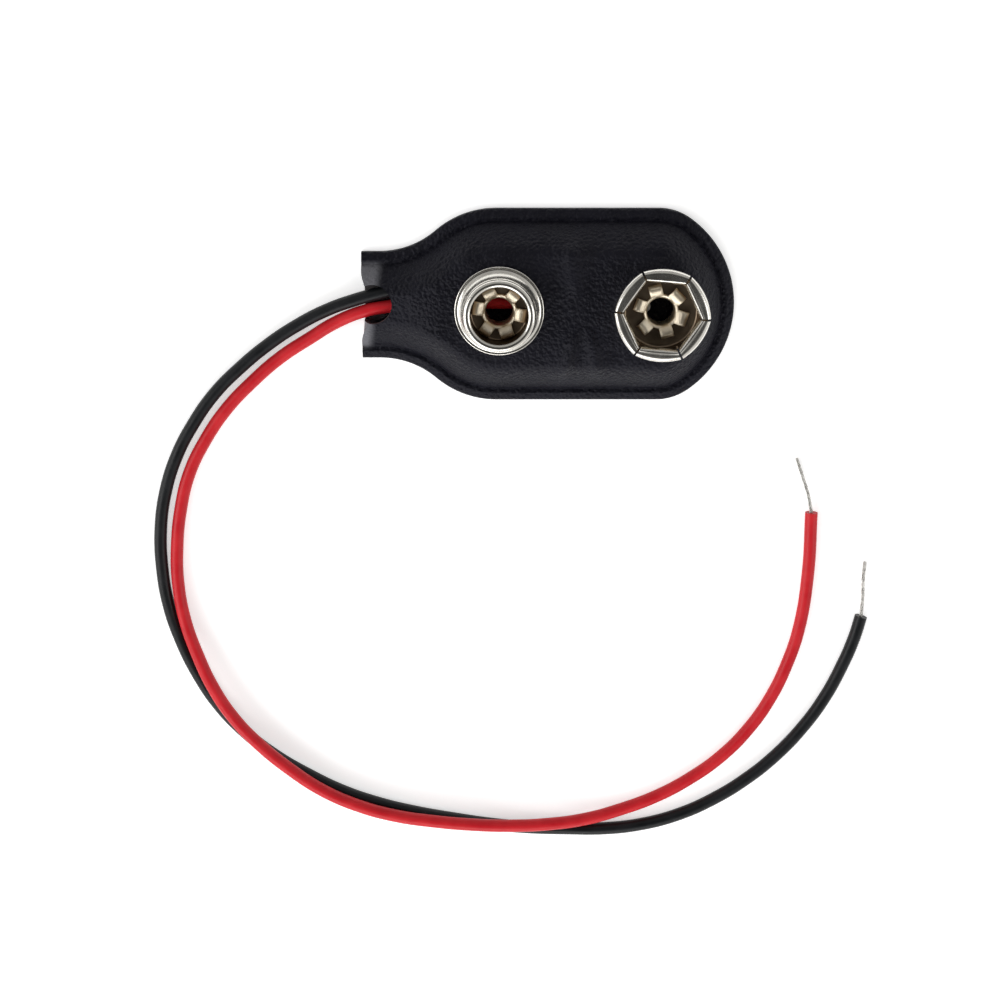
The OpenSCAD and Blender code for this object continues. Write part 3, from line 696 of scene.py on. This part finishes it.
def leaf_loop(phi):
    """Closed cross-section of a leaf at an angle from its middle: outer line, then the line behind it."""
    def at(r, z, straight):
        return (mix(r, r / cos(phi), straight), z)

    front = [at(*p) for p in LEAF_LINE]
    back = []
    for i, (r, z) in enumerate(front):
        (ar, az), (br, bz) = front[max(i - 1, 0)], front[min(i + 1, len(front) - 1)]
        run = hypot(br - ar, bz - az)
        back.append((r - (bz - az) / run * LEAF_T, z + (br - ar) / run * LEAF_T))
    return front + back[::-1]


socket_mesh = bmesh.new()
# The cup's inner floor takes the plate painted with shade.
lathe(socket_mesh, [(BARREL_HOLE_R, 0), (2.7, 0), *arc(2.72, 0.44, 0.44, -85, -8, 8), (3.19, 0.62), (2.97, 0.66),
                    *arc(2.7, 0.5, 0.22, 0, -90, 6), (BARREL_HOLE_R, METAL_T)], SOCKET_X, VINYL_Z, inside=11)
for k in range(6):
    middle = radians(SOCKET_TURN + 30 + 60 * k)
    reach = radians(30) - asin(SLIT_W / 2 / 3.4)
    loops = []
    for i in range(LEAF_STEPS + 1):
        phi = mix(-reach, reach, i / LEAF_STEPS)
        loops.append([socket_mesh.verts.new((SOCKET_X + r * cos(middle + phi), r * sin(middle + phi), VINYL_Z + z))
                      for r, z in leaf_loop(phi)])
    for near, far in zip(loops, loops[1:]):
        for j in range(len(near)):
            face = socket_mesh.faces.new((near[j - 1], near[j], far[j], far[j - 1]))
            # The leaves' backs, facing into the cup, take the plate painted with shade too.
            face.material_index = 1 if j > len(LEAF_LINE) else 0
    socket_mesh.faces.new(loops[0])
    socket_mesh.faces.new(reversed(loops[-1]))
bmesh.ops.recalc_face_normals(socket_mesh, faces=socket_mesh.faces)
socket = piece_from(socket_mesh, "socket", nickel, nickel_in_painted_shade, sharp=50)
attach(socket, "root")
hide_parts("socket_contact")


# Eyelets: thin plated brass tubes that rivet the contacts to the board.
# Each has a flange below the board; its upper end is split and folded out over the contact's floor as six petals.
EYELET_BORE_R, EYELET_T, EYELET_FLANGE_R = 1.075, 0.2, 2.3
EYELET_Z, BOARD_Z, FLOOR_Z = 1.6, 1.8, 3.33
PETAL_W = 1.08
# A petal's top line from inside the barrel over its rounded back to its tip, as (radius, height over the floor).
PETAL_LINE = [(1.085, -0.2), (1.1, 0.02), (1.16, 0.14), (1.28, 0.25), (1.44, 0.34), (1.62, 0.42), (1.78, 0.45),
              (1.94, 0.42), (2.08, 0.33), (2.2, 0.18)]

brass = surface("eyelet_brass", metallic=1.0)
brass_marks = effect(brass, handling_marks, Cell_Size=0.7)
tinted(brass, brass_marks.outputs["Cloud"], (0.62, 0.52, 0.37), (0.95, 0.87, 0.72))
polished(brass, brass_marks.outputs["Cloud"], 0.3, 0.5)
embossed(brass, brass_marks.outputs["Scratch"], 0.02)


def eyelet(name, node, x, turn, seed):
    """A barrel with its lower flange and six petals, no two bent quite alike."""
    mesh = bmesh.new()
    lathe(mesh, [(EYELET_BORE_R, EYELET_Z), (EYELET_FLANGE_R, EYELET_Z), (EYELET_FLANGE_R, BOARD_Z),
                 (EYELET_BORE_R + EYELET_T, BOARD_Z), (EYELET_BORE_R + EYELET_T, FLOOR_Z), (1.38, FLOOR_Z + 0.02),
                 (1.4, FLOOR_Z + 0.12), (1.33, FLOOR_Z + 0.19), (1.22, FLOOR_Z + 0.17), (1.12, FLOOR_Z + 0.08),
                 (EYELET_BORE_R, FLOOR_Z - 0.08)], x, 0, steps=96)
    chance = Random(seed)
    for k in range(6):
        swing = radians(turn + 60 * k + chance.uniform(-4, 4))
        width = PETAL_W * chance.uniform(0.92, 1.06)
        lift = chance.uniform(0.85, 1.12)
        reach = chance.uniform(0.96, 1.0)
        skew = chance.uniform(-0.06, 0.06)
        line = [(EYELET_BORE_R + (r - EYELET_BORE_R) * reach, h * lift) for r, h in PETAL_LINE]
        loops = []
        for share in (-0.5, -0.46, -0.3, 0, 0.3, 0.46, 0.5):
            droop = 0.05 if abs(share) == 0.5 else 0.015 if abs(share) > 0.4 else 0
            top = [(r, h - droop + skew * share) for r, h in line]
            under = [(r - 0.02, max(h - 0.16, 0.005) if i > 3 else h - 0.02) for i, (r, h) in enumerate(top)]
            under = [(r + EYELET_T * 0.8 if i < 4 else r, h) for i, (r, h) in enumerate(under)]
            loop = top + under[::-1]
            v = share * width
            loops.append([mesh.verts.new((x + r * cos(swing) - v * sin(swing), r * sin(swing) + v * cos(swing),
                                          FLOOR_Z + h)) for r, h in loop])
        for near, far in zip(loops, loops[1:]):
            for j in range(len(near)):
                mesh.faces.new((near[j - 1], near[j], far[j], far[j - 1]))
        mesh.faces.new(loops[0])
        mesh.faces.new(reversed(loops[-1]))
    bmesh.ops.recalc_face_normals(mesh, faces=mesh.faces)
    piece = piece_from(mesh, name, brass, sharp=55)
    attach(piece, "root")
    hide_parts(node)


eyelet("stud_rivet", "stud_eyelet", STUD_X, -7, 3)
eyelet("socket_rivet", "socket_eyelet", SOCKET_X, -15, 8)


# Table and light: a white table under the part, three broad soft lamps and a pale room.
# The table shows white to the camera and in the metal, keeps the part's soft shadow and is clear from below.
TABLE_REACH = 3.0
TABLE_DROP = 0.02 * MM
TABLE_GLOW = 0.5

table_top = surface("white_table")
table_nodes, table_links = table_top.node_tree.nodes, table_top.node_tree.links
table_paint = table_nodes["Principled BSDF"]
table_paint.inputs["Base Color"].default_value = (0.9, 0.9, 0.9, 1)
table_paint.inputs["Roughness"].default_value = 0.9
table_paint.inputs["Emission Color"].default_value = (1, 1, 1, 1)
table_seen = table_nodes.new("ShaderNodeLightPath")
seen = table_seen.outputs["Is Camera Ray"]
for ray in ("Is Glossy Ray", "Is Transmission Ray"):
    either = table_nodes.new("ShaderNodeMath")
    either.operation = "MAXIMUM"
    table_links.new(seen, either.inputs[0])
    table_links.new(table_seen.outputs[ray], either.inputs[1])
    seen = either.outputs[0]
table_glow = table_nodes.new("ShaderNodeMath")
table_glow.operation = "MULTIPLY"
table_glow.inputs[1].default_value = TABLE_GLOW
table_links.new(seen, table_glow.inputs[0])
table_links.new(table_glow.outputs[0], table_paint.inputs["Emission Strength"])
table_side = table_nodes.new("ShaderNodeNewGeometry")
table_clear = table_nodes.new("ShaderNodeBsdfTransparent")
table_faces = table_nodes.new("ShaderNodeMixShader")
table_links.new(table_side.outputs["Backfacing"], table_faces.inputs["Fac"])
table_links.new(table_paint.outputs["BSDF"], table_faces.inputs[1])
table_links.new(table_clear.outputs["BSDF"], table_faces.inputs[2])
table_links.new(table_faces.outputs["Shader"], table_nodes["Material Output"].inputs["Surface"])
table_data = bpy.data.meshes.new("table")
table_corners = [(x * TABLE_REACH, y * TABLE_REACH, -TABLE_DROP) for x, y in ((-1, -1), (1, -1), (1, 1), (-1, 1))]
table_data.from_pydata(table_corners, [], [(0, 1, 2, 3)])
table_data.materials.append(table_top)
table = bpy.data.objects.new("table", table_data)
bpy.context.scene.collection.objects.link(table)


def soft_lamp(name, place, width, height, watts):
    """A soft box that faces the part."""
    lamp = bpy.data.lights.new(name, "AREA")
    lamp.shape = "RECTANGLE"
    lamp.size, lamp.size_y = width, height
    lamp.energy = watts
    stand = bpy.data.objects.new(name, lamp)
    stand.location = place
    stand.rotation_euler = (-Vector(place)).to_track_quat("-Z", "Y").to_euler()
    bpy.context.scene.collection.objects.link(stand)


soft_lamp("left_lamp", (-0.42, -0.06, 0.26), 0.34, 0.30, 1.0)
soft_lamp("right_lamp", (0.42, -0.06, 0.28), 0.22, 0.20, 0.4)
soft_lamp("front_lamp", (-0.14, -0.44, 0.32), 0.50, 0.24, 1.25)

# The room is bright in front and at the sides, dimmer behind and dark overhead, where the camera hangs.
ROOM_SIDE, ROOM_TOP, ROOM_FALL = 0.62, 0.04, 0.4
ROOM_DIM_FROM, ROOM_DARK_FROM = 0.74, 0.95
room = bpy.data.worlds.new("room")
room.use_nodes = True
room_nodes, room_links = room.node_tree.nodes, room.node_tree.links
room_way = room_nodes.new("ShaderNodeTexCoord")
room_split = room_nodes.new("ShaderNodeSeparateXYZ")
room_rise = room_nodes.new("ShaderNodeMapRange")
room_rise.interpolation_type = "SMOOTHSTEP"
room_rise.inputs["From Min"].default_value = ROOM_DIM_FROM
room_rise.inputs["From Max"].default_value = ROOM_DARK_FROM
room_rise.inputs["To Min"].default_value = ROOM_SIDE
room_rise.inputs["To Max"].default_value = ROOM_TOP
room_links.new(room_way.outputs["Generated"], room_split.inputs["Vector"])
room_links.new(room_split.outputs["Z"], room_rise.inputs["Value"])
room_depth = room_nodes.new("ShaderNodeMath")
room_depth.operation = "MULTIPLY_ADD"
room_depth.inputs[1].default_value, room_depth.inputs[2].default_value = -ROOM_FALL, 1
room_light = room_nodes.new("ShaderNodeMath")
room_light.operation = "MULTIPLY"
room_links.new(room_split.outputs["Y"], room_depth.inputs[0])
room_links.new(room_depth.outputs[0], room_light.inputs[0])
room_links.new(room_rise.outputs["Result"], room_light.inputs[1])
room_links.new(room_light.outputs[0], room_nodes["Background"].inputs["Strength"])
room_nodes["Background"].inputs["Color"].default_value = (1, 0.99, 0.97, 1)
bpy.context.scene.world = room
bpy.context.scene.view_settings.view_transform = "Standard"
